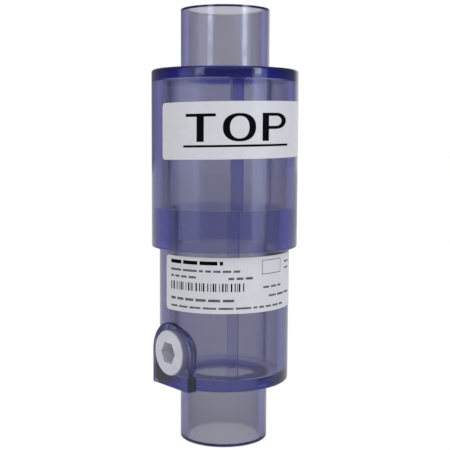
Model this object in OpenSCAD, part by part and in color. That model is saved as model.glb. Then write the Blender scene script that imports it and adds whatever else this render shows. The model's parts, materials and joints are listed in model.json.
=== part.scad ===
// Float-type condensate trap: two clear moulded shells lapped and cemented together, with a pipe
// spigot at each end, a side clean-out port closed by a taper plug, and a ball check valve inside.
// Millimetres. Z runs up to the inlet, and the origin is on the axis at the outlet spigot's end.
// An azimuth is counted from the front (-Y) towards +X.

/* [Pipe spigots] */
// Outside diameter of both spigots, 1-1/4 in pipe
spigot_od = 42.16; // [34:0.01:44]
// Wall of both spigots
spigot_wall = 3.56; // [2.8:0.02:5]
// Free length of the outlet spigot under the lower shell
outlet_l = 28.9; // [20:0.1:60]
// Free length of the inlet spigot over the upper shell
inlet_l = 28.3; // [20:0.1:60]
// Bevel on the spigots' outer end edges
spigot_bevel = 0.4; // [0.1:0.1:1]
// Fillet where a spigot leaves its end wall
root_fillet = 1; // [0.4:0.1:2]

/* [Shells] */
// Outside diameter of the lower shell
lower_od = 62.4; // [58:0.1:70]
// Side wall of the lower shell
lower_wall = 4; // [2.6:0.1:5]
// Height of the lower shell, from its bottom face to its rim
lower_h = 83.6; // [72:0.1:110]
// Side wall of the upper shell round the lap
upper_wall = 3.75; // [2.6:0.05:5]
// Width of the shoulder above the lap that stops the lower shell's rim
stop_w = 0.95; // [0.3:0.05:1.5]
// Height of the upper shell, from its bottom edge to its top face
upper_h = 83.7; // [70:0.1:120]
// Length of the lap in which the lower shell is cemented
lap = 18.9; // [12:0.1:26]
// Radial gap that the cement fills in the lap
lap_gap = 0.05; // [0.02:0.01:0.15]
// End wall of each shell
end_wall = 4.8; // [3:0.1:7]
// Rounding of the shells' outer end edges
edge_r = 1.4; // [0.4:0.1:2.4]
// Fillet in the corner between side wall and end wall
inner_fillet = 1; // [0.4:0.1:2]
// Lead-in chamfer at the mouth of the upper shell and at the lower shell's rim
lead_in = 0.5; // [0.2:0.1:1]

/* [Ribs] */
// Number of ribs in each shell
rib_count = 3; // [2:1:4]
// Thickness of a rib
rib_t = 4.8; // [3:0.1:6]
// Radial depth of a lower rib
lower_rib_d = 2.1; // [1.5:0.1:4]
// Radial depth of an upper rib at the end wall
upper_rib_d = 3; // [2.5:0.1:6]
// Radial depth of an upper rib at its free end, at the shoulder
upper_rib_end_d = 1.2; // [0.8:0.1:2.4]
// Flare of an upper rib's sides where they meet the end wall
rib_flare = 2; // [0.5:0.1:3]
// Azimuth of the front lower rib
lower_rib_turn = 8.5; // [0:0.5:20]
// Azimuth of the front upper rib
upper_rib_turn = 11; // [0:0.5:20]

/* [Clean-out port] */
// Azimuth of the port
port_turn = -51; // [-55:1:-43]
// Width of the boss, whose top is round about the port
boss_w = 28.4; // [23.5:0.1:31]
// Height of the boss's straight sides under its round top, from the lower shell's bottom face
boss_rise = 2.1; // [0.5:0.1:8]
// How far the boss's flat face stands out from the shell
boss_proud = 1.2; // [0.8:0.1:4]
// Chamfer round the boss's face
boss_bevel = 0.8; // [0.3:0.1:1.2]
// Diameter of the plug at its face, 1/2 in taper thread
plug_d = 21.2; // [19.6:0.1:22]
// Length of the plug
plug_l = 11; // [8:0.1:13]
// How far the plug's face stands out from the boss
plug_proud = 1.2; // [0.2:0.1:2]
// Radial running gap between plug and port
plug_gap = 0.05; // [0.02:0.01:0.1]
// Chamfer on the plug's edges
plug_bevel = 0.7; // [0.3:0.1:1.2]
// Hexagon socket, across flats
socket_af = 9.5; // [8:0.1:12]
// Depth of the hexagon socket
socket_l = 7.5; // [5:0.1:8]

/* [Valve] */
// Height of the valve plate's ledge above the lower shell's floor
plate_up = 33.5; // [28:0.1:45]
// Thickness of the valve plate
plate_t = 2.4; // [1.6:0.1:4]
// Width of the ledge that carries the valve plate
ledge_w = 0.4; // [0.2:0.1:0.8]
// Gap between the valve plate and what it fits in
plate_gap = 0.05; // [0.02:0.01:0.15]
// Wall of the seat cup
cup_wall = 1.6; // [1.2:0.1:2.4]
// How far the seat cup hangs under the valve plate
cup_drop = 5; // [4.2:0.1:7]
// Floor of the seat cup
cup_floor = 1.8; // [1.2:0.1:2.4]
// Diameter of the float ball
ball_d = 21; // [19:0.1:24]
// Free space round the ball in its cup and cage
ball_clear = 1; // [0.6:0.1:1.6]
// Distance at which the ball rests over its seat and stops under the cage ring
ball_gap = 0.1; // [0.05:0.01:0.2]
// Lift of the ball off its seat
ball_lift = 3.6; // [2:0.1:5]
// Radius of the seat opening
seat_r = 8; // [6.5:0.1:8.4]
// Thickness of the seat ring
seat_t = 2.2; // [1.8:0.1:3]
// Rounding of the seat ring's inner upper edge
lip_r = 0.8; // [0.4:0.1:1]
// Gap round the seat ring in its cup
seat_gap = 0.05; // [0.02:0.01:0.15]

/* [Ball cage] */
// Number of posts in the cage
post_count = 4; // [3:1:6]
// Diameter of a post
post_d = 2.4; // [1.6:0.1:3]
// Height of the cage's base ring
cage_base_h = 1.4; // [1:0.1:2.4]
// Width of the cage's base ring
cage_base_w = 3; // [2.8:0.1:4]
// Height of the cage's top ring
cage_ring_h = 1.3; // [1:0.1:2.4]
// Radius of the hole in the cage's top ring
cage_hole_r = 7.5; // [6:0.1:8.5]

/* [Labels] */
// Thickness of both labels
label_t = 0.15; // [0.1:0.01:0.3]
// Gap that the adhesive fills under a label
label_gap = 0.02; // [0.01:0.01:0.1]
// Rounding of the labels' corners
label_corner = 2; // [1:0.1:4]
// Width of the upper label, along the shell
top_label_w = 80; // [50:0.1:100]
// Height of the upper label
top_label_h = 25.7; // [18:0.1:26]
// Azimuth of the upper label's middle
top_label_turn = 11.4; // [0:0.1:20]
// Height of the upper label's lower edge above the upper shell's bottom edge
top_label_up = 42.5; // [24:0.1:50]
// Width of the lower label, along the shell
low_label_w = 101.6; // [60:0.1:110]
// Azimuth of the lower label's middle
low_label_turn = 34; // [25:0.1:45]
// Clear height between the boss and the lower label
low_label_under = 6.4; // [2:0.1:9]
// Clear height between the lower label and the lap
low_label_over = 2.1; // [0.5:0.1:4]

/* [Hidden] */
$fn = 96;

// Small overlap that makes unions and cuts clean
eps = 0.5;
// Segments in one quarter of a small fillet
fillet_n = 5;

spigot_r = spigot_od / 2;
spigot_bore_r = spigot_r - spigot_wall;

// Lower shell
lower_r = lower_od / 2;
lower_bore_r = lower_r - lower_wall;
lower_z = outlet_l;
floor_z = lower_z + end_wall;
rim_z = lower_z + lower_h;
ledge_z = floor_z + plate_up;

// Upper shell: its socket round the lap, and its chamber from the shoulder up
lap_bore_r = lower_r + lap_gap;
upper_r = lap_bore_r + upper_wall;
upper_bore_r = lap_bore_r - stop_w;
stop_z = rim_z + lap_gap;
upper_z = rim_z - lap;
top_z = upper_z + upper_h;
ceiling_z = top_z - end_wall;
inlet_z = top_z + inlet_l;

// Port, measured outwards from the axis
boss_top = lower_z + boss_rise + boss_w;
port_z = boss_top - boss_w / 2;
boss_face = lower_r + boss_proud;
plug_face = boss_face + plug_proud;
plug_end = plug_face - plug_l;
// A taper pipe thread narrows by 1 in 16 on its diameter
pipe_taper = 1 / 32;
plug_r = plug_d / 2;
socket_r = socket_af / 2 / cos(30);

// Lower label, which fills the band between the boss and the lap but for its two clear heights
low_label_z = boss_top + low_label_under;
low_label_h = upper_z - low_label_over - low_label_z;

// Valve
ball_r = ball_d / 2;
cup_r = ball_r + ball_clear;
cup_floor_z = ledge_z - cup_drop;
seat_z = cup_floor_z + cup_floor;
seat_top_z = seat_z + seat_t;
plate_z = ledge_z + plate_t;
// The hole in the cup's floor is a little wider than the soft seat, which alone meets the ball
cup_hole_r = seat_r + 0.6;
lip_centre_r = seat_r + lip_r;
ball_z = seat_top_z - lip_r + sqrt(pow(ball_r + lip_r + ball_gap, 2) - pow(lip_centre_r, 2));
cage_ring_z = ball_z + ball_lift + sqrt(pow(ball_r + ball_gap, 2) - pow(cage_hole_r, 2));
post_r = post_d / 2;
// The posts stand midway across the base ring, and the top ring is as wide
post_ring_r = cup_r + cage_base_w / 2;
cage_r = cup_r + cage_base_w;
// Posts run this far into the cage's two rings
post_sink = 0.4;

// Points of a round corner about [r, z], from one angle to another
function corner(r, z, size, from, to) = [
    for (i = [0 : fillet_n])
        let (a = from + (to - from) * i / fillet_n)
            [r + size * cos(a), z + size * sin(a)]
];

// Turns a child that points along +X to an azimuth
module to_azimuth(azimuth) {
    rotate([0, 0, azimuth - 90]) children();
}

// Lays a child drawn in XY, with its thickness along Z, so that it faces outwards at an azimuth
module facing(azimuth, height) {
    to_azimuth(azimuth) translate([0, 0, height]) rotate([90, 0, 90]) children();
}

// Section of the lower shell: spigot, floor, side wall, and the ledge for the valve plate
module lower_section() {
    polygon(concat(
        [
            [spigot_bore_r, 0],
            [spigot_r - spigot_bevel, 0],
            [spigot_r, spigot_bevel]
        ],
        corner(spigot_r + root_fillet, lower_z - root_fillet, root_fillet, 180, 90),
        corner(lower_r - edge_r, lower_z + edge_r, edge_r, -90, 0),
        [
            [lower_r, rim_z - lead_in],
            [lower_r - lead_in, rim_z],
            [lower_bore_r, rim_z],
            [lower_bore_r, ledge_z],
            [lower_bore_r - ledge_w, ledge_z]
        ],
        corner(lower_bore_r - ledge_w - inner_fillet, floor_z + inner_fillet, inner_fillet, 0, -90),
        [[spigot_bore_r, floor_z]]
    ));
}

// Section of the upper shell: shoulder, socket, side wall, end wall and spigot
module upper_section() {
    polygon(concat(
        [
            [upper_bore_r, stop_z],
            [lap_bore_r, stop_z],
            [lap_bore_r, upper_z + lead_in],
            [lap_bore_r + lead_in, upper_z],
            [upper_r - lead_in, upper_z],
            [upper_r, upper_z + lead_in]
        ],
        corner(upper_r - edge_r, top_z - edge_r, edge_r, 0, 90),
        corner(spigot_r + root_fillet, top_z + root_fillet, root_fillet, -90, -180),
        [
            [spigot_r, inlet_z - spigot_bevel],
            [spigot_r - spigot_bevel, inlet_z],
            [spigot_bore_r, inlet_z],
            [spigot_bore_r, ceiling_z]
        ],
        corner(upper_bore_r - inner_fillet, ceiling_z - inner_fillet, inner_fillet, 90, 0)
    ));
}

// One rib: its side view, deep_lo and deep_hi being its depth at its lower and upper end
module rib_side(bore_r, deep_lo, deep_hi, z_lo, z_hi) {
    polygon([
        [bore_r - deep_lo, z_lo],
        [bore_r + eps, z_lo],
        [bore_r + eps, z_hi],
        [bore_r - deep_hi, z_hi]
    ]);
}

// Front view of a rib, with sides that flare into the end wall at its upper end
module rib_front(z_lo, z_hi, flare) {
    half = rib_t / 2;
    polygon(concat(
        [[-half, z_lo], [half, z_lo]],
        corner(half + flare, z_hi - flare, flare, 180, 90),
        [[half + flare, z_hi + eps], [-half - flare, z_hi + eps]],
        corner(-half - flare, z_hi - flare, flare, 90, 0)
    ));
}

module upper_ribs() {
    for (i = [0 : rib_count - 1])
        to_azimuth(upper_rib_turn + i * 360 / rib_count)
            intersection() {
                rotate([90, 0, 0])
                    linear_extrude(height = rib_t + 4 * rib_flare, center = true)
                        rib_side(upper_bore_r, upper_rib_end_d, upper_rib_d, stop_z, ceiling_z + eps);
                translate([spigot_bore_r, 0, 0])
                    rotate([90, 0, 90])
                        linear_extrude(height = upper_r - spigot_bore_r)
                            rib_front(stop_z, ceiling_z, rib_flare);
            }
}

module lower_ribs() {
    for (i = [0 : rib_count - 1])
        to_azimuth(lower_rib_turn + i * 360 / rib_count)
            rotate([90, 0, 0])
                linear_extrude(height = rib_t, center = true)
                    rib_side(lower_bore_r, lower_rib_d, lower_rib_d, floor_z - eps, rim_z);
}

// Boss with a round top and straight sides that run down to the shell's bottom face
module port_boss() {
    half = boss_w / 2;
    flat_face = half - boss_bevel;
    // It starts a little inside the bore, which then cuts it back
    root = lower_bore_r - ledge_w - 2 * eps;
    facing(port_turn, port_z) {
        translate([0, 0, root])
            cylinder(r = half, h = boss_face - boss_bevel - root);
        translate([0, 0, boss_face - boss_bevel])
            cylinder(r1 = half, r2 = flat_face, h = boss_bevel);
    }
    to_azimuth(port_turn)
        translate([0, 0, lower_z])
            linear_extrude(height = port_z - lower_z)
                polygon([
                    [root, -half],
                    [boss_face - boss_bevel, -half],
                    [boss_face, -flat_face],
                    [boss_face, flat_face],
                    [boss_face - boss_bevel, half],
                    [root, half]
                ]);
}

// The taper hole, wider than the plug by the running gap at every depth
module port_hole() {
    depth = boss_face - lower_bore_r + 3 * lower_wall;
    mouth_r = plug_r + plug_gap - plug_proud * pipe_taper;
    facing(port_turn, port_z)
        translate([0, 0, boss_face - depth])
            cylinder(r1 = mouth_r - depth * pipe_taper, r2 = mouth_r, h = depth);
    facing(port_turn, port_z)
        translate([0, 0, boss_face - eps])
            cylinder(r = mouth_r, h = 2 * eps);
}

module upper_shell() {
    color([0.55, 0.56, 0.75, 0.4]) {
        rotate_extrude() upper_section();
        upper_ribs();
    }
}

module lower_shell() {
    color([0.55, 0.56, 0.75, 0.4])
        difference() {
            union() {
                rotate_extrude() lower_section();
                lower_ribs();
                difference() {
                    port_boss();
                    // The boss stops at the bore
                    translate([0, 0, floor_z - eps])
                        cylinder(r = lower_bore_r - ledge_w, h = lower_h);
                }
            }
            port_hole();
        }
}

module clean_out_plug() {
    color([0.86, 0.86, 0.88])
        facing(port_turn, port_z)
            translate([0, 0, plug_end])
                difference() {
                    rotate_extrude()
                        polygon([
                            [0, 0],
                            [plug_r - plug_l * pipe_taper - plug_bevel, 0],
                            [plug_r - (plug_l - plug_bevel) * pipe_taper, plug_bevel],
                            [plug_r, plug_l - plug_bevel],
                            [plug_r - plug_bevel, plug_l],
                            [0, plug_l]
                        ]);
                    translate([0, 0, plug_l - socket_l])
                        cylinder(r = socket_r, h = socket_l + eps, $fn = 6);
                }
}

// Cuts one corner of a label round. The child's corner points along +X and +Y
module label_corner_cut(shell_r) {
    // The round starts just off the label, so that it crosses both edges at an angle
    off = label_corner / 40;
    beyond = label_corner + eps;
    translate([off, off, shell_r - eps])
        linear_extrude(height = 2 * eps + label_t)
            polygon(concat(
                [[beyond, beyond], [0, beyond]],
                corner(0, 0, label_corner, 90, 0),
                [[beyond, 0]]
            ));
}

// A label of the given width and height, wrapped on a shell
module wrapped_label(shell_r, width, height, turn, z_lo) {
    under_r = shell_r + label_gap;
    sweep = width / under_r * 180 / PI;
    corner_turn = sweep / 2 - label_corner / under_r * 180 / PI;
    difference() {
        rotate([0, 0, turn - sweep / 2 - 90])
            rotate_extrude(angle = sweep)
                translate([under_r, z_lo])
                    square([label_t, height]);
        for (side = [-1, 1])
            for (end = [0, 1])
                facing(turn + side * corner_turn, z_lo + label_corner + end * (height - 2 * label_corner))
                    mirror([side < 0 ? 1 : 0, 0, 0])
                        mirror([0, end == 0 ? 1 : 0, 0])
                            label_corner_cut(shell_r);
    }
}

module top_label() {
    color([0.93, 0.93, 0.95])
        wrapped_label(upper_r, top_label_w, top_label_h, top_label_turn, upper_z + top_label_up);
}

module product_label() {
    color([0.93, 0.93, 0.95])
        wrapped_label(lower_r, low_label_w, low_label_h, low_label_turn, low_label_z);
}

// Round plate on the ledge, with a sunken cup for the seat and a notch for each rib
module valve_plate() {
    plate_r = lower_bore_r - plate_gap;
    notch_r = lower_bore_r - lower_rib_d - plate_gap;
    color([0.75, 0.76, 0.8])
        difference() {
            rotate_extrude()
                polygon([
                    [cup_hole_r, cup_floor_z],
                    [cup_r + cup_wall - lead_in, cup_floor_z],
                    [cup_r + cup_wall, cup_floor_z + lead_in],
                    [cup_r + cup_wall, ledge_z],
                    [plate_r, ledge_z],
                    [plate_r, plate_z],
                    [cup_r, plate_z],
                    [cup_r, seat_z],
                    [cup_hole_r, seat_z]
                ]);
            for (i = [0 : rib_count - 1])
                to_azimuth(lower_rib_turn + i * 360 / rib_count)
                    translate([notch_r, -rib_t / 2 - plate_gap, ledge_z - eps])
                        cube([lower_rib_d + 2 * eps, rib_t + 2 * plate_gap, plate_t + 2 * eps]);
        }
}

module seat_ring() {
    color([0.2, 0.2, 0.22])
        rotate_extrude()
            polygon(concat(
                [[seat_r, seat_z], [cup_r - seat_gap, seat_z], [cup_r - seat_gap, seat_top_z]],
                corner(lip_centre_r, seat_top_z - lip_r, lip_r, 90, 180)
            ));
}

module ball_cage() {
    color([0.8, 0.81, 0.84]) {
        rotate_extrude() {
            translate([cup_r, plate_z])
                square([cage_base_w, cage_base_h]);
            polygon([
                [cage_hole_r, cage_ring_z],
                [cage_r, cage_ring_z],
                [cage_r, cage_ring_z + cage_ring_h],
                [cage_hole_r, cage_ring_z + cage_ring_h]
            ]);
        }
        for (i = [0 : post_count - 1])
            to_azimuth(port_turn + (i + 0.5) * 360 / post_count)
                translate([post_ring_r, 0, plate_z + cage_base_h - post_sink])
                    cylinder(r = post_r, h = cage_ring_z - plate_z - cage_base_h + 2 * post_sink, $fn = 32);
    }
}

module float_ball() {
    color([0.92, 0.92, 0.94])
        translate([0, 0, ball_z])
            sphere(r = ball_r);
}

upper_shell();
lower_shell();
clean_out_plug();
top_label();
product_label();
valve_plate();
seat_ring();
ball_cage();
float_ball();
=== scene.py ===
"""Looks of a clear float-type condensate trap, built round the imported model. Metres, Z up."""

import json
import math

import bmesh
import bpy
from mathutils import Matrix, Vector


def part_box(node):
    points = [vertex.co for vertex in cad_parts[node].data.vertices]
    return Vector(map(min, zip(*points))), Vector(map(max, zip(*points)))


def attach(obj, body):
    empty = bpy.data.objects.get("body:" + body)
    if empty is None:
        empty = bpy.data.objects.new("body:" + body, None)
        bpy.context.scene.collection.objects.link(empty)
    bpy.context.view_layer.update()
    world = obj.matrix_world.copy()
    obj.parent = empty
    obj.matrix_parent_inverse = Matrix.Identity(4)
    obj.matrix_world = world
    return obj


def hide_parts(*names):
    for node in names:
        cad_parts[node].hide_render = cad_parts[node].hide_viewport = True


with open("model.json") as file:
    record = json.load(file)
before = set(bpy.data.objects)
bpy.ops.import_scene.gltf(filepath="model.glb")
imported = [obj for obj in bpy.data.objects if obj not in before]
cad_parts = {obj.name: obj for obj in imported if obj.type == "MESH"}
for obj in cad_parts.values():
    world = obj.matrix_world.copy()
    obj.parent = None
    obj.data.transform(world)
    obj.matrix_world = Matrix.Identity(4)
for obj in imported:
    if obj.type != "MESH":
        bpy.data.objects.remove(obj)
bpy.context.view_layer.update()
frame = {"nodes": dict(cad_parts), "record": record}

MM = 0.001
MOUNTS = {m["name"]: m for m in frame["record"]["mounts"]}

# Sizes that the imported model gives
UPPER_LOW, UPPER_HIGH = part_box("upper_shell")
LOWER_LOW, LOWER_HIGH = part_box("lower_shell")
PLATE_TOP_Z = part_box("valve_plate")[1][2]
SPIGOT_R = MOUNTS["inlet_spigot"]["dims"]["r_mm"] * MM

# The clear body, whose LOWER and UPPER sizes are those of the two shells
SPIGOT_WALL = 3.56 * MM
OUTLET_L = 28.9 * MM
INLET_L = 28.3 * MM
LOWER_R = 31.2 * MM
LOWER_WALL = 4.0 * MM
LAP_WALL = 3.75 * MM
STOP_W = 0.95 * MM
LAP_GAP = 0.05 * MM
UPPER_R = 35.0 * MM
END_WALL = 4.8 * MM
EDGE_R = 1.4 * MM
ROOT_FILLET = 1.0 * MM
INNER_FILLET = 1.0 * MM
LEAD_IN = 0.5 * MM
SPIGOT_BEVEL = 0.12 * MM
# Inner chamfer at the spigots' mouths
MOUTH_W = 1.3 * MM
MOUTH_H = 0.75 * MM
LEDGE_W = 0.4 * MM
PLATE_T = 2.4 * MM
BORE_R = SPIGOT_R - SPIGOT_WALL
LAP_BORE_R = UPPER_R - LAP_WALL
UPPER_BORE_R = LAP_BORE_R - STOP_W
LOWER_BORE_R = LOWER_R - LOWER_WALL
INLET_Z = UPPER_HIGH[2]
TOP_Z = INLET_Z - INLET_L
CEILING_Z = TOP_Z - END_WALL
UPPER_Z = UPPER_LOW[2]
RIM_Z = LOWER_HIGH[2]
STOP_Z = RIM_Z + LAP_GAP
LEDGE_Z = PLATE_TOP_Z - PLATE_T
LOWER_Z = LOWER_LOW[2] + OUTLET_L
FLOOR_Z = LOWER_Z + END_WALL

# Ribs
RIB_T = 4.8 * MM
RIB_EDGE_R = 0.5 * MM
LOWER_RIB_D = 2.1 * MM
UPPER_RIB_D = 3.0 * MM
UPPER_RIB_END_D = 1.2 * MM
# The front upper rib reaches further in than the other two by this much
FRONT_RIB_MORE = 3.6 * MM
RIB_FLARE = 2.0 * MM
RIB_SINK = 1.2 * MM
LOWER_RIB_TURN = 8.5
UPPER_RIB_TURN = 11.0
RIB_COUNT = 3

# Clean-out port and plug, measured outwards from the axis
PORT_TURN = -51.0
BOSS_HALF = 14.2 * MM
BOSS_RAISE = 2.1 * MM
BOSS_OUT = 1.2 * MM
BOSS_ROOT = 0.6 * MM
BOSS_BEVEL = 0.8 * MM
PORT_Z = LOWER_Z + BOSS_RAISE + BOSS_HALF
BOSS_FACE = LOWER_R + BOSS_OUT
PLUG_OUT = 1.2 * MM
PLUG_FACE = BOSS_FACE + PLUG_OUT
PLUG_L = 11.0 * MM
PLUG_R = 10.6 * MM
PLUG_BITE = 0.02 * MM
PLUG_BEVEL = 0.7 * MM
PLUG_COLLAR = 1.6 * MM
PLUG_CORE_R = 0.25 * MM
PIPE_TAPER = 1 / 32
THREAD_PITCH = 25.4 / 14 * MM
THREAD_DEEP = 0.9 * MM
THREAD_FROM = PLUG_FACE - PLUG_L + PLUG_BEVEL
THREAD_TO = PLUG_FACE - PLUG_COLLAR
THREAD_START = 0.1 * MM
THREAD_RUNOUT = 0.2 * MM
HOLE_PAST_PLUG = 4.0 * MM
HOLE_PAST_FACE = 2.0 * MM
SOCKET_AF = 9.5 * MM
SOCKET_L = 7.5 * MM
SOCKET_BEVEL = 0.1 * MM
SOCKET_RIM = 0.9 * MM
SOCKET_POINT = 1.0 * MM

# Labels
LABEL_GAP = 0.02 * MM
LABEL_T = 0.15 * MM
LABEL_CORNER = 2.0 * MM
INK_T = 0.03 * MM
INK_SINK = 0.02 * MM
TOP_LABEL_W = 80.0 * MM
TOP_LABEL_TURN = 11.4
TOP_LABEL_TILT = 0.019
LOW_LABEL_W = 101.6 * MM
LOW_LABEL_TURN = 34.0
LOW_LABEL_TILT = 0.006

# Fineness of the meshes
AROUND = 288
PORT_AROUND = 144
BOSS_AROUND = 48
BEVEL_STEPS = 5
FLARE_STEPS = 6
CORNER_STEPS = 8
THREAD_STEPS = 64
LABEL_STEP = 1.2 * MM
LABEL_ROWS = 8
BAR_STEP = 1.0 * MM
WALL_STEP = 5.0 * MM
SMOOTH_ANGLE = math.radians(30)


# Geometry helpers


def arc(r, z, size, start, end, steps=8):
    """Points of a round corner about (r, z), from one angle to another, in degrees."""
    angles = [math.radians(start + (end - start) * i / steps) for i in range(steps + 1)]
    return [(r + size * math.cos(a), z + size * math.sin(a)) for a in angles]


def quarter(steps):
    """The angles of a quarter circle."""
    return [math.radians(90 * i / steps) for i in range(steps + 1)]


def subdivided(points, step):
    """The closed outline with no stretch longer than step."""
    out = []
    for i, (r0, z0) in enumerate(points):
        r1, z1 = points[(i + 1) % len(points)]
        n = max(1, math.ceil(math.hypot(r1 - r0, z1 - z0) / step))
        out += [(r0 + (r1 - r0) * k / n, z0 + (z1 - z0) * k / n) for k in range(n)]
    return out


def frame_at(azimuth, height=0.0):
    """A frame on the axis: X to the right, Y up and Z outwards at an azimuth from the front."""
    a = math.radians(azimuth)
    side = Vector((math.cos(a), math.sin(a), 0))
    out = Vector((math.sin(a), -math.cos(a), 0))
    m = Matrix((side, Vector((0, 0, 1)), out)).transposed().to_4x4()
    m.translation = (0, 0, height)
    return m


def new_piece(name, bm, material, smooth=SMOOTH_ANGLE):
    """An object made of bm, shaded smooth below the given angle."""
    bmesh.ops.recalc_face_normals(bm, faces=bm.faces)
    mesh = bpy.data.meshes.new(name)
    bm.to_mesh(mesh)
    bm.free()
    mesh.shade_smooth()
    mesh.set_sharp_from_angle(angle=smooth)
    piece = bpy.data.objects.new(name, mesh)
    bpy.context.scene.collection.objects.link(piece)
    if material:
        mesh.materials.append(material)
    return piece


def rings_to_mesh(bm, rings, closed_along):
    """Joins rings of points, each a closed loop of the same count, into a skin."""
    loops = [[bm.verts.new(p) for p in ring] for ring in rings]
    pairs = list(zip(loops, loops[1:]))
    if closed_along:
        pairs.append((loops[-1], loops[0]))
    for low, high in pairs:
        count = len(low)
        for i in range(count):
            j = (i + 1) % count
            bm.faces.new((low[i], low[j], high[j], high[i]))
    return loops


def revolved(outline, around=AROUND):
    """A closed ring of revolution about the Z axis from a closed outline of (r, z)."""
    bm = bmesh.new()
    turns = [2 * math.pi * i / around for i in range(around)]
    rings = [[(r * math.cos(t), r * math.sin(t), z) for t in turns] for r, z in outline]
    rings_to_mesh(bm, rings, closed_along=True)
    return bm


def lofted(bm, sections, to_world):
    """A capped solid through sections of the same count of points, in a frame of its own."""
    rings = [[to_world @ Vector(p) for p in section] for section in sections]
    loops = rings_to_mesh(bm, rings, closed_along=False)
    bm.faces.new(loops[0])
    bm.faces.new(loops[-1])


def combined(piece, tool, operation):
    """Applies a boolean with a tool, which is then removed."""
    modifier = piece.modifiers.new("combine", "BOOLEAN")
    modifier.object = tool
    modifier.operation = operation
    modifier.solver = "EXACT"
    bpy.context.view_layer.update()
    evaluated = piece.evaluated_get(bpy.context.evaluated_depsgraph_get())
    mesh = bpy.data.meshes.new_from_object(evaluated)
    piece.modifiers.clear()
    piece.data = mesh
    bpy.data.objects.remove(tool)
    mesh.shade_smooth()
    mesh.set_sharp_from_angle(angle=SMOOTH_ANGLE)


# Material helpers


class Nodes:
    """A new material's node tree, with short calls to add and link nodes."""

    def __init__(self, name):
        self.material = bpy.data.materials.new(name)
        self.material.use_nodes = True
        self.tree = self.material.node_tree
        self.tree.nodes.clear()
        self.out = self.add("ShaderNodeOutputMaterial")

    def add(self, kind, **values):
        """A new node, with its own values or its sockets' values set by name."""
        node = self.tree.nodes.new(kind)
        for key, value in values.items():
            if hasattr(node, key):
                setattr(node, key, value)
            else:
                node.inputs[key.replace("_", " ")].default_value = value
        return node

    def link(self, source, target):
        self.tree.links.new(source, target)

    def noise(self, scale, detail=3.0):
        """Noise over the object's own coordinates."""
        place = self.add("ShaderNodeTexCoord")
        noise = self.add("ShaderNodeTexNoise", Scale=scale, Detail=detail)
        self.link(place.outputs["Object"], noise.inputs["Vector"])
        return noise.outputs["Fac"]

    def ranged(self, value, low, high, from_low=0.3, from_high=0.7):
        """The value spread from low to high."""
        node = self.add("ShaderNodeMapRange")
        node.inputs["From Min"].default_value = from_low
        node.inputs["From Max"].default_value = from_high
        node.inputs["To Min"].default_value = low
        node.inputs["To Max"].default_value = high
        self.link(value, node.inputs["Value"])
        return node.outputs["Result"]

    def bump(self, value, strength, distance):
        """A surface that rises and falls by value."""
        node = self.add("ShaderNodeBump", Strength=strength, Distance=distance)
        self.link(value, node.inputs["Height"])
        return node.outputs["Normal"]

    def two_tone(self, value, dark, light):
        """A colour between dark and light by value."""
        node = self.add("ShaderNodeMix", data_type="RGBA")
        sockets = {socket.name: socket for socket in node.inputs if socket.type == "RGBA"}
        sockets["A"].default_value = (*dark, 1)
        sockets["B"].default_value = (*light, 1)
        self.link(value, node.inputs["Factor"])
        return next(s for s in node.outputs if s.type == "RGBA")


# What one wall of the clear plastic lets through beside its blue cast, seen straight on, and
# painted shade:
# a darker tint that upright walls take at grazing angles, so that the shells' outlines look darker
CLEAR_TINT = (0.80, 0.79, 0.61)
PAINTED_EDGE_SHADE = (0.38, 0.375, 0.24)
# The blue cast: each channel is absorbed by the density times what the colour lacks of 1
CLEAR_DENSITY = 132.0
CLEAR_COLOUR = (0.0, 0.015, 0.79, 1)
CLEAR_IOR = 1.53


def clear_plastic(name):
    """Clear PVC with a blue cast that deepens with the thickness of plastic that light crosses,
    and painted shade that darkens upright walls at grazing angles.
    """
    n = Nodes(name)
    shader = n.add("ShaderNodeBsdfPrincipled", IOR=CLEAR_IOR)
    # Painted shade: the tint turns darker where upright walls are seen at grazing angles, so the
    # outlines look darker
    edge = n.add("ShaderNodeLayerWeight", Blend=0.5)
    grazing = n.ranged(edge.outputs["Facing"], 0, 1, 0.4, 0.75)
    place = n.add("ShaderNodeTexCoord")
    normal = n.add("ShaderNodeSeparateXYZ")
    n.link(place.outputs["Normal"], normal.inputs["Vector"])
    level = n.add("ShaderNodeMath", operation="ABSOLUTE")
    n.link(normal.outputs["Z"], level.inputs[0])
    shade = n.add("ShaderNodeMath", operation="MULTIPLY")
    n.link(grazing, shade.inputs[0])
    n.link(n.ranged(level.outputs[0], 1, 0, 0.2, 0.8), shade.inputs[1])
    n.link(n.two_tone(shade.outputs[0], CLEAR_TINT, PAINTED_EDGE_SHADE), shader.inputs["Base Color"])
    shader.inputs["Transmission Weight"].default_value = 1
    n.link(n.ranged(n.noise(60), 0.09, 0.14), shader.inputs["Roughness"])
    n.link(n.bump(n.noise(90), 0.06, 0.0006), shader.inputs["Normal"])
    n.link(shader.outputs["BSDF"], n.out.inputs["Surface"])
    volume = n.add("ShaderNodeVolumeAbsorption", Density=CLEAR_DENSITY)
    volume.inputs["Color"].default_value = CLEAR_COLOUR
    n.link(volume.outputs["Volume"], n.out.inputs["Volume"])
    return n.material


def plain_plastic(name, dark, light, roughness, grain, gloss=0.5):
    """Opaque plastic, film or ink with a faint grain and an uneven tone."""
    n = Nodes(name)
    shader = n.add("ShaderNodeBsdfPrincipled")
    shader.inputs["Specular IOR Level"].default_value = gloss
    tone = n.ranged(n.noise(grain * 0.2), 0, 1)
    n.link(n.two_tone(tone, dark, light), shader.inputs["Base Color"])
    uneven = n.ranged(n.noise(grain * 0.5), roughness * 0.85, roughness * 1.15)
    n.link(uneven, shader.inputs["Roughness"])
    n.link(n.bump(n.noise(grain), 0.15, 0.0001), shader.inputs["Normal"])
    n.link(shader.outputs["BSDF"], n.out.inputs["Surface"])
    return n.material


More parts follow.
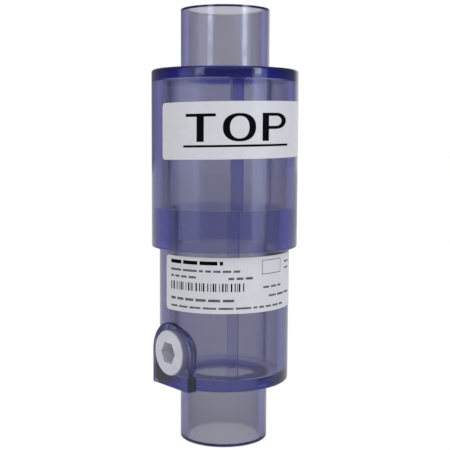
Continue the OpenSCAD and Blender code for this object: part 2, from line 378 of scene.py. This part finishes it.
clear_pvc = clear_plastic("clear_pvc")
white_plastic = plain_plastic("white_plastic", (0.56, 0.54, 0.58), (0.63, 0.61, 0.65), 0.42, 900)
label_film = plain_plastic("label_film", (0.63, 0.60, 0.605), (0.66, 0.63, 0.635), 0.38, 1500)
black_ink = plain_plastic(
    "black_ink", (0.002, 0.002, 0.003), (0.004, 0.004, 0.006), 0.6, 2000, 0.02
)
grey_ink = plain_plastic("grey_ink", (0.06, 0.06, 0.07), (0.16, 0.16, 0.18), 0.6, 2500, 0.1)
valve_plastic = plain_plastic("valve_plastic", (0.76, 0.77, 0.80), (0.83, 0.84, 0.86), 0.4, 700)
ball_plastic = plain_plastic("ball_plastic", (0.72, 0.72, 0.75), (0.8, 0.8, 0.82), 0.35, 800)
seat_rubber = plain_plastic("seat_rubber", (0.02, 0.02, 0.022), (0.04, 0.04, 0.044), 0.65, 1200)


# The clear body: both shells are cemented, so their plastic is one mesh with no gap in the lap


def body_outline():
    """The section of the two joined shells, anticlockwise from the outlet's bore."""
    return (
        [(BORE_R, LOWER_LOW[2] + MOUTH_H), (BORE_R + MOUTH_W, LOWER_LOW[2])]
        + [(SPIGOT_R - SPIGOT_BEVEL, LOWER_LOW[2]), (SPIGOT_R, LOWER_LOW[2] + SPIGOT_BEVEL)]
        + arc(SPIGOT_R + ROOT_FILLET, LOWER_Z - ROOT_FILLET, ROOT_FILLET, 180, 90)
        + arc(LOWER_R - EDGE_R, LOWER_Z + EDGE_R, EDGE_R, -90, 0)
        + [(LOWER_R, UPPER_Z)]
        + arc(UPPER_R - LEAD_IN, UPPER_Z + LEAD_IN, LEAD_IN, -90, 0, 4)
        + arc(UPPER_R - EDGE_R, TOP_Z - EDGE_R, EDGE_R, 0, 90)
        + arc(SPIGOT_R + ROOT_FILLET, TOP_Z + ROOT_FILLET, ROOT_FILLET, -90, -180)
        + [(SPIGOT_R, INLET_Z - SPIGOT_BEVEL), (SPIGOT_R - SPIGOT_BEVEL, INLET_Z)]
        + [(BORE_R + MOUTH_W, INLET_Z), (BORE_R, INLET_Z - MOUTH_H)]
        + [(BORE_R, CEILING_Z)]
        + arc(UPPER_BORE_R - INNER_FILLET, CEILING_Z - INNER_FILLET, INNER_FILLET, 90, 0)
        + [(UPPER_BORE_R, RIM_Z), (LOWER_BORE_R, RIM_Z)]
        + [(LOWER_BORE_R, LEDGE_Z), (LOWER_BORE_R - LEDGE_W, LEDGE_Z)]
        + arc(LOWER_BORE_R - LEDGE_W - INNER_FILLET, FLOOR_Z + INNER_FILLET, INNER_FILLET, 0, -90)
        + [(BORE_R, FLOOR_Z)]
    )


def rib_section(half, inner_r, outer_r, height):
    """A rib cut level: its sides, and its round inner edge, at a height above the frame."""
    r = RIB_EDGE_R
    left = arc(-half + r, inner_r + r, r, 180, 270, 3)
    right = arc(half - r, inner_r + r, r, 270, 360, 3)
    return [(x, height, out) for x, out in [(-half, outer_r)] + left + right + [(half, outer_r)]]


def make_rib(azimuth, bore_r, levels):
    """A rib through (height, depth, extra half width) levels."""
    bm = bmesh.new()
    sections = [
        rib_section(RIB_T / 2 + flare, bore_r - deep, bore_r + RIB_SINK, height)
        for height, deep, flare in levels
    ]
    lofted(bm, sections, frame_at(azimuth))
    return new_piece("rib", bm, None)


def make_ribs():
    """All the ribs, each as a piece of its own, because one union can't take ribs that cross."""
    run = CEILING_Z - STOP_Z
    flare_z = CEILING_Z - RIB_FLARE

    # The sides curve outwards by a quarter circle just under the end wall
    curve = [
        (flare_z + RIB_FLARE * math.sin(a), RIB_FLARE * (1 - math.cos(a)))
        for a in quarter(FLARE_STEPS)
    ]

    def upper_levels(more):
        low, high = UPPER_RIB_END_D + more, UPPER_RIB_D + more
        levels = [(STOP_Z, low, 0)]
        levels += [(z, low + (high - low) * (z - STOP_Z) / run, flare) for z, flare in curve]
        return levels + [(CEILING_Z + RIB_SINK, high, RIB_FLARE)]

    lower = [(FLOOR_Z - RIB_SINK, LOWER_RIB_D, 0), (RIM_Z - LAP_GAP, LOWER_RIB_D, 0)]
    for i in range(RIB_COUNT):
        turn = i * 360 / RIB_COUNT
        upper = upper_levels(FRONT_RIB_MORE if i == 0 else 0)
        yield make_rib(UPPER_RIB_TURN + turn, UPPER_BORE_R, upper)
        yield make_rib(LOWER_RIB_TURN + turn, LOWER_BORE_R, lower)


def make_boss():
    """The port's boss: a round top and straight sides that run down to the shell's bottom face."""
    bm = bmesh.new()
    drop = LOWER_Z - PORT_Z
    root = LOWER_BORE_R + BOSS_ROOT
    half_turn = [math.pi * i / BOSS_AROUND for i in range(BOSS_AROUND + 1)]

    def section(half, out):
        top = [(half * math.cos(a), half * math.sin(a), out) for a in half_turn]
        return top + [(-half, drop, out), (half, drop, out)]

    bevel = [
        (BOSS_HALF - BOSS_BEVEL * (1 - math.cos(a)), BOSS_FACE - BOSS_BEVEL * (1 - math.sin(a)))
        for a in quarter(BEVEL_STEPS)
    ]
    sections = [section(BOSS_HALF, root)] + [section(half, out) for half, out in bevel]
    lofted(bm, sections, frame_at(PORT_TURN, PORT_Z))
    return new_piece("boss", bm, None)


def turned(radius, out):
    """A ring about the port's axis whose radius goes by the angle."""
    turns = [2 * math.pi * i / PORT_AROUND for i in range(PORT_AROUND)]
    return [(radius(t) * math.cos(t), radius(t) * math.sin(t), out) for t in turns]


def taper(out, less=0.0):
    """The plug's own radius at a distance from the axis of the trap, without its thread."""
    return lambda t: PLUG_R - (PLUG_FACE - out) * PIPE_TAPER - less


def thread_rings(less=0.0):
    """Rings along the plug's thread, and one past it, all smaller by less."""

    def threaded(out):
        def radius(t):
            # The crests and roots are flat, and the flanks between them are straight
            phase = (out / THREAD_PITCH - t / (2 * math.pi)) % 1
            rise = min(1.0, max(0.0, 1.5 * abs(2 * phase - 1) - 0.25))
            return taper(out, less)(t) - THREAD_DEEP * (1 - rise)

        return radius

    run = THREAD_TO - THREAD_FROM
    outs = [THREAD_FROM + run * i / THREAD_STEPS for i in range(THREAD_STEPS + 1)]
    smooth = THREAD_TO + THREAD_RUNOUT
    return [turned(threaded(out), out) for out in outs] + [turned(taper(smooth, less), smooth)]


def make_port_hole():
    """The port's threaded taper hole, so tight that the plug presses into it all round."""
    bm = bmesh.new()
    inmost, outmost = THREAD_FROM - HOLE_PAST_PLUG, BOSS_FACE + HOLE_PAST_FACE
    inner = [turned(taper(out, PLUG_BITE), out) for out in (inmost, THREAD_FROM - THREAD_START)]
    sections = inner + thread_rings(PLUG_BITE) + [turned(taper(outmost, PLUG_BITE), outmost)]
    lofted(bm, sections, frame_at(PORT_TURN, PORT_Z))
    return new_piece("port_hole", bm, None)


def make_body():
    """Both shells with their ribs, the boss and the port."""
    body = new_piece("clear_body", revolved(subdivided(body_outline(), WALL_STEP)), clear_pvc)
    for rib in make_ribs():
        combined(body, rib, "UNION")
    combined(body, make_boss(), "UNION")
    combined(body, make_port_hole(), "DIFFERENCE")
    body.data.materials.clear()
    body.data.materials.append(clear_pvc)
    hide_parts("upper_shell", "lower_shell")
    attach(body, "housing")
    return body


make_body()


# The clean-out plug


def make_plug():
    """Taper plug with a thread along its side and a hexagon socket, one corner to the right."""
    bm = bmesh.new()
    hexagon = SOCKET_AF / 2 / math.cos(math.pi / 6)

    def hex_radius(size):
        def radius(t):
            return size * math.cos(math.pi / 6) / math.cos((t % (math.pi / 3)) - math.pi / 6)

        return radius

    end = PLUG_FACE - PLUG_L
    rings = [turned(lambda t: PLUG_CORE_R, end)]
    rings.append(turned(taper(end, THREAD_DEEP + PLUG_BEVEL), end))
    rings += thread_rings()
    for a in quarter(BEVEL_STEPS):
        out = PLUG_FACE - PLUG_BEVEL * (1 - math.sin(a))
        rings.append(turned(taper(out, PLUG_BEVEL * (1 - math.cos(a))), out))
    rings.append(turned(lambda t: hexagon + SOCKET_RIM, PLUG_FACE))
    rings.append(turned(hex_radius(hexagon + SOCKET_BEVEL), PLUG_FACE))
    rings.append(turned(hex_radius(hexagon), PLUG_FACE - SOCKET_BEVEL))
    rings.append(turned(hex_radius(hexagon), PLUG_FACE - SOCKET_L))
    rings.append(turned(lambda t: PLUG_CORE_R, PLUG_FACE - SOCKET_L - SOCKET_POINT))
    lofted(bm, rings, frame_at(PORT_TURN, PORT_Z))
    plug = new_piece("threaded_plug", bm, white_plastic)
    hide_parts("clean_out_plug")
    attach(plug, "plug")


make_plug()


# Labels: film wrapped on a shell, and print laid on the film


class Wrap:
    """A label's place on a shell: u runs along the film from its middle, v up from its middle.

    The print stands on the film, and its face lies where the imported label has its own.
    """

    def __init__(self, shell_r, turn, middle_z, tilt):
        self.under_r = shell_r + LABEL_GAP
        self.face_r = self.under_r + LABEL_T - INK_T
        self.ink = (self.face_r - INK_SINK, self.face_r + INK_T)
        self.turn = math.radians(turn)
        self.middle_z = middle_z
        self.tilt = tilt

    def at(self, u, v, r):
        """The point (u, v) of the label at radius r."""
        a = self.turn + u / self.under_r
        return Vector((r * math.sin(a), -r * math.cos(a), self.middle_z + v + self.tilt * u))


def strip(bm, pairs, wrap, low_r, high_r, closed=False, rows=1):
    """A thin solid on a label between two edges, given as pairs of points (u, v)."""
    front, back = [], []
    for a, b in pairs:
        points = [
            (a[0] + (b[0] - a[0]) * k / rows, a[1] + (b[1] - a[1]) * k / rows)
            for k in range(rows + 1)
        ]
        front.append([bm.verts.new(wrap.at(u, v, high_r)) for u, v in points])
        back.append([bm.verts.new(wrap.at(u, v, low_r)) for u, v in points])
    last = len(pairs)
    for i in range(last if closed else last - 1):
        j = (i + 1) % last
        for k in range(rows):
            bm.faces.new((front[i][k], front[j][k], front[j][k + 1], front[i][k + 1]))
            bm.faces.new((back[i][k], back[i][k + 1], back[j][k + 1], back[j][k]))
        bm.faces.new((front[i][0], back[i][0], back[j][0], front[j][0]))
        bm.faces.new((front[i][-1], front[j][-1], back[j][-1], back[i][-1]))
    if not closed:
        for i in (0, last - 1):
            for k in range(rows):
                bm.faces.new((front[i][k], front[i][k + 1], back[i][k + 1], back[i][k]))


def label_columns(width, height):
    """Pairs of points up a rounded label, closer together at its round corners."""
    half_w, half_h, c = width / 2, height / 2, LABEL_CORNER
    corner = [
        (-half_w + c * (1 - math.cos(a)), half_h - c * (1 - math.sin(a)))
        for a in quarter(CORNER_STEPS)
    ]
    steps = round((width - 2 * c) / LABEL_STEP)
    middle = [(-half_w + c + (width - 2 * c) * i / steps, half_h) for i in range(1, steps)]
    columns = corner + middle + [(-u, h) for u, h in reversed(corner)]
    return [((u, -h), (u, h)) for u, h in columns]


def make_label(name, node, shell_r, width, turn, tilt):
    """A film in place of a packed label. Returns the wrap that its print goes by."""
    low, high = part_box(node)
    wrap = Wrap(shell_r, turn, (low[2] + high[2]) / 2, tilt)
    columns = label_columns(width, high[2] - low[2])
    bm = bmesh.new()
    strip(bm, columns, wrap, wrap.under_r, wrap.face_r, rows=LABEL_ROWS)
    label = new_piece(name, bm, label_film, math.radians(50))
    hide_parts(node)
    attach(label, "housing")
    return wrap


def bar(bm, wrap, u0, v0, u1, v1):
    """A printed rectangle from one corner to the other."""
    steps = max(1, math.ceil(abs(u1 - u0) / BAR_STEP))
    columns = [u0 + (u1 - u0) * i / steps for i in range(steps + 1)]
    strip(bm, [((u, v0), (u, v1)) for u in columns], wrap, *wrap.ink)


def bowl(bm, wrap, centre, outer, inner, start, end, power=2.0, steps=72):
    """A printed stroke between two ovals about centre, each (half width, half height)."""
    closed = end - start >= 360
    count = steps if closed else steps + 1

    def oval(size, a):
        cos, sin = math.cos(a), math.sin(a)
        u = math.copysign(abs(cos) ** (2 / power), cos)
        v = math.copysign(abs(sin) ** (2 / power), sin)
        return (centre[0] + size[0] * u, centre[1] + size[1] * v)

    angles = [math.radians(start + (end - start) * i / steps) for i in range(count)]
    pairs = [(oval(outer, a), oval(inner, a)) for a in angles]
    strip(bm, pairs, wrap, *wrap.ink, closed=closed, rows=4)


def print_piece(name, bm, ink):
    """A piece of print, which stays with the label that it is on."""
    piece = new_piece(name, bm, ink)
    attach(piece, "housing")


def make_top_print(wrap):
    """The word TOP, which says which way up the trap goes, and the rule under it."""
    bm = bmesh.new()
    cap = 12.5 * MM
    base = -4.95 * MM
    top = base + cap
    thin = 1.35 * MM
    stem = 3.4 * MM
    # T
    left, middle, right = -25.15 * MM, -18.05 * MM, -10.95 * MM
    bar(bm, wrap, left, top - thin, right, top)
    bar(bm, wrap, middle - stem / 2, base, middle + stem / 2, top - thin)
    # O
    centre = (-0.25 * MM, base + cap / 2)
    bowl(bm, wrap, centre, (7.55 * MM, cap / 2), (4.4 * MM, 4.95 * MM), 0, 360, power=2.25)
    # P, whose stroke round the bowl has flat stretches that run back to the stem
    left, middle = 10.6 * MM, 18.3 * MM
    waist = base + 5.3 * MM
    inside = (top - thin - waist - thin) / 2
    bar(bm, wrap, left, base, left + stem, top)
    bar(bm, wrap, left + stem, top - thin, middle, top)
    bar(bm, wrap, left + stem, waist, middle, waist + thin)
    centre = (middle, (top + waist) / 2)
    bowl(bm, wrap, centre, (6.7 * MM, (top - waist) / 2), (3.4 * MM, inside), -90, 90)
    # Rule
    half = 26.45 * MM
    bar(bm, wrap, -half, -7.4 * MM, half, -6.4 * MM)
    print_piece("top_print", bm, black_ink)


WORD_GAP = 1.1 * MM
SHORTEST_WORD = 0.8 * MM


def words(bm, wrap, u0, u1, v, height, seed, longest):
    """A row of plain bars of uneven length, in place of a line of small print."""
    u = u0
    i = seed
    while u < u1 - SHORTEST_WORD:
        length = (2.0 + longest * ((i * 7 + 3) % 10) / 10) * MM
        bar(bm, wrap, u, v - height / 2, min(u + length, u1), v + height / 2)
        u += length + WORD_GAP
        i += 3


def stripes(bm, wrap, u0, u1, v0, v1):
    """Upright stripes of three widths."""
    u = u0
    i = 0
    while u < u1:
        width = (0.28 + 0.22 * ((i * 5 + 1) % 3)) * MM
        bar(bm, wrap, u, v0, u + width, v1)
        u += width + (0.42 + 0.3 * ((i * 3 + 1) % 4)) * MM
        i += 1


def empty_box(bm, wrap, u, v, width, height, line):
    """The four sides of a box with nothing in it."""
    bar(bm, wrap, u, v, u + width, v + line)
    bar(bm, wrap, u, v + height - line, u + width, v + height)
    bar(bm, wrap, u, v + line, u + line, v + height - line)
    bar(bm, wrap, u + width - line, v + line, u + width, v + height - line)


# The lower label's rows of bars, in millimetres from its middle: left and right end, height of
# the row's middle, height of a bar, where the run of lengths starts, and what the longest adds
MARGIN = -46.6
BOLD_ROW = (MARGIN, -19.0, 10.3, 1.7, 2, 7.0)
FINE_ROWS = (
    (MARGIN, -11.2, 6.6, 1.0, 5, 6.0),
    (MARGIN, -30.2, 3.6, 1.0, 1, 6.0),
    (-16.5, -5.0, 3.3, 1.1, 4, 6.0),
    (MARGIN, -13.9, -6.8, 1.2, 7, 6.0),
    (MARGIN, 14.5, -10.4, 0.9, 3, 6.0),
    (0.6, 12.6, -1.4, 0.9, 6, 3.0),
    (4.0, 22.0, -5.6, 0.9, 2, 4.0),
    (16.5, 22.5, 9.0, 0.9, 3, 3.0),
    (16.5, 22.5, 6.0, 0.9, 8, 3.0),
)
STRIPES = (MARGIN, -8.4, -2.7, 1.1)
EMPTY_BOX = (-0.2, 4.6, 12.6, 6.6, 0.3)


def make_low_print(wrap):
    """Plain bars, stripes and an empty box where such a label has its small print."""
    bold, fine = bmesh.new(), bmesh.new()

    def row(bm, left, right, v, height, seed, longest):
        words(bm, wrap, left * MM, right * MM, v * MM, height * MM, seed, longest)

    row(bold, *BOLD_ROW)
    stripes(bold, wrap, *[size * MM for size in STRIPES])
    for sizes in FINE_ROWS:
        row(fine, *sizes)
    empty_box(fine, wrap, *[size * MM for size in EMPTY_BOX])
    print_piece("low_print_bold", bold, black_ink)
    print_piece("low_print_fine", fine, grey_ink)


make_top_print(
    make_label(
        "top_label_film", "top_label", UPPER_R, TOP_LABEL_W, TOP_LABEL_TURN, TOP_LABEL_TILT
    )
)
make_low_print(
    make_label(
        "low_label_film", "product_label", LOWER_R, LOW_LABEL_W, LOW_LABEL_TURN, LOW_LABEL_TILT
    )
)


# The valve's pieces keep their solids, with finishes of their own


def dress(node, material):
    """Gives a carried-over piece a finish."""
    for slot in frame["nodes"][node].material_slots:
        slot.material = material


dress("valve_plate", valve_plastic)
dress("ball_cage", valve_plastic)
dress("seat_ring", seat_rubber)
dress("float_ball", ball_plastic)


# Floor, world, lights and camera

FLOOR_SIZE = 6.0
FLOOR_GAP = 0.05 * MM
FLOOR_COLOUR = (0.88, 0.88, 0.88, 1)
FLOOR_GLOW = 1.03
# How much of the background's white the floor has to each kind of ray, beside its lit colour
FLOOR_WHITE = {"Is Glossy Ray": 0.3, "Is Transmission Ray": 0.4, "Is Camera Ray": 0.94}


def make_floor():
    """A pale floor that keeps the object's shadow and runs into the white background."""
    n = Nodes("pale_floor")
    lit = n.add("ShaderNodeBsdfDiffuse")
    lit.inputs["Color"].default_value = FLOOR_COLOUR
    glow = n.add("ShaderNodeEmission", Strength=FLOOR_GLOW)
    glow.inputs["Color"].default_value = (1, 1, 1, 1)
    path = n.add("ShaderNodeLightPath")
    share = None
    for kind, level in FLOOR_WHITE.items():
        part = n.add("ShaderNodeMath", operation="MULTIPLY")
        n.link(path.outputs[kind], part.inputs[0])
        part.inputs[1].default_value = level
        if share:
            most = n.add("ShaderNodeMath", operation="MAXIMUM")
            n.link(share.outputs[0], most.inputs[0])
            n.link(part.outputs[0], most.inputs[1])
            part = most
        share = part
    mix = n.add("ShaderNodeMixShader")
    n.link(share.outputs[0], mix.inputs["Fac"])
    n.link(lit.outputs["BSDF"], mix.inputs[1])
    n.link(glow.outputs["Emission"], mix.inputs[2])
    n.link(mix.outputs["Shader"], n.out.inputs["Surface"])
    bm = bmesh.new()
    half = FLOOR_SIZE / 2
    corners = ((-half, -half), (half, -half), (half, half), (-half, half))
    bm.faces.new([bm.verts.new((x, y, 0)) for x, y in corners])
    floor = new_piece("floor", bm, n.material)
    floor.location = (0, 0, LOWER_LOW[2] - FLOOR_GAP)


# How bright the world lights what is neither glass nor gloss, where the white background is 1
PLAIN_LIGHT = 0.6
# The studio's dim side, from which the object's front gets little gloss, and how dim it is
DIM_AZIMUTH = -14.0
DIM_LEVEL = 0.25
# How bright gloss sees the studio's two sides, between the dim side and the white background
SIDE_LEVEL = 0.26
# Cosines of the angle from the dim side's middle between which each of the two fades
DIM_FADE = (0.70, 0.97)
BACK_FADE = (-0.97, -0.85)


def make_world():
    """White all round to the eye. Gloss also sees a dim side, and all else is lit plainly."""
    world = bpy.data.worlds.new("studio")
    bpy.context.scene.world = world
    world.use_nodes = True
    tree = world.node_tree
    tree.nodes.clear()

    def add(kind, **values):
        node = tree.nodes.new(kind)
        for key, value in values.items():
            setattr(node, key, value)
        return node

    def ramp(value, from_low, from_high, to_low, to_high):
        node = add("ShaderNodeMapRange", interpolation_type="SMOOTHSTEP")
        names = ("From Min", "From Max", "To Min", "To Max")
        for name, number in zip(names, (from_low, from_high, to_low, to_high)):
            node.inputs[name].default_value = number
        tree.links.new(value, node.inputs["Value"])
        return node.outputs["Result"]

    def blend(factor, low, high):
        node = add("ShaderNodeMix", data_type="FLOAT")
        tree.links.new(factor, node.inputs["Factor"])
        for socket, value in ((node.inputs["A"], low), (node.inputs["B"], high)):
            if isinstance(value, float):
                socket.default_value = value
            else:
                tree.links.new(value, socket)
        return node.outputs["Result"]

    path = add("ShaderNodeLightPath")
    place = add("ShaderNodeTexCoord")
    dim = frame_at(DIM_AZIMUTH).to_3x3() @ Vector((0, 0, 1))
    toward = add("ShaderNodeVectorMath", operation="DOT_PRODUCT")
    tree.links.new(place.outputs["Generated"], toward.inputs[0])
    toward.inputs[1].default_value = dim
    gloss = ramp(toward.outputs["Value"], *DIM_FADE, SIDE_LEVEL, DIM_LEVEL)
    behind = ramp(toward.outputs["Value"], *BACK_FADE, 1.0, 0.0)
    gloss = blend(behind, gloss, 1.0)
    level = blend(path.outputs["Is Glossy Ray"], PLAIN_LIGHT, gloss)
    level = blend(path.outputs["Is Transmission Ray"], level, 1.0)
    level = blend(path.outputs["Is Camera Ray"], level, 1.0)
    back = add("ShaderNodeBackground")
    back.inputs["Color"].default_value = (1, 1, 1, 1)
    tree.links.new(level, back.inputs["Strength"])
    out = add("ShaderNodeOutputWorld")
    tree.links.new(back.outputs["Background"], out.inputs["Surface"])


COOL_LIGHT = (0.87, 1.0, 1.17)
# Name, azimuth, distance from the axis, lower and upper edge, width and radiance
LAMPS = (
    ("fill_left", -56.0, 0.8, 0.0, 0.90, 0.50, 0.8),
    ("key_left", -38.0, 0.8, 0.25, 0.90, 0.19, 2.7),
    ("fill_right", 54.0, 0.8, 0.0, 0.90, 0.34, 1.5),
    ("key_right", 51.0, 0.8, 0.25, 0.90, 0.16, 5.0),
)


def softbox(name, azimuth, distance, low, high, width, radiance):
    """An upright area light that faces the axis, as bright as radiance all over."""
    size_y = high - low
    light = bpy.data.lights.new(name, "AREA")
    light.shape = "RECTANGLE"
    light.size = width
    light.size_y = size_y
    light.energy = radiance * math.pi * width * size_y
    light.color = COOL_LIGHT
    lamp = bpy.data.objects.new(name, light)
    m = frame_at(azimuth, (low + high) / 2)
    lamp.matrix_world = m @ Matrix.Translation((0, 0, distance))
    bpy.context.scene.collection.objects.link(lamp)


CAMERA_AT = (0.31 * MM, -452.8 * MM, 147.3 * MM)
CAMERA_PITCH = math.radians(-5.539)
CAMERA_ROLL = math.radians(0.277)
CAMERA_LENS = 75.24


def make_camera():
    """The camera that was fitted to the photograph's outlines."""
    data = bpy.data.cameras.new("camera")
    data.sensor_width = 36
    data.lens = CAMERA_LENS
    data.clip_start = 0.01
    camera = bpy.data.objects.new("camera", data)
    forward = Vector((0, math.cos(CAMERA_PITCH), math.sin(CAMERA_PITCH)))
    right = Vector((1, 0, 0))
    up = right.cross(forward)
    side = math.cos(CAMERA_ROLL) * right + math.sin(CAMERA_ROLL) * up
    top = math.cos(CAMERA_ROLL) * up - math.sin(CAMERA_ROLL) * right
    m = Matrix((side, top, -forward)).transposed().to_4x4()
    m.translation = CAMERA_AT
    camera.matrix_world = m
    bpy.context.scene.collection.objects.link(camera)
    bpy.context.scene.camera = camera


def set_scene():
    """The plain view, with enough bounces for light to cross all the walls."""
    scene = bpy.context.scene
    scene.view_settings.view_transform = "Standard"
    scene.cycles.max_bounces = 32
    scene.cycles.transmission_bounces = 28
    scene.cycles.glossy_bounces = 12


make_floor()
make_world()
for lamp in LAMPS:
    softbox(*lamp)
make_camera()
set_scene()

bpy.context.view_layer.update()
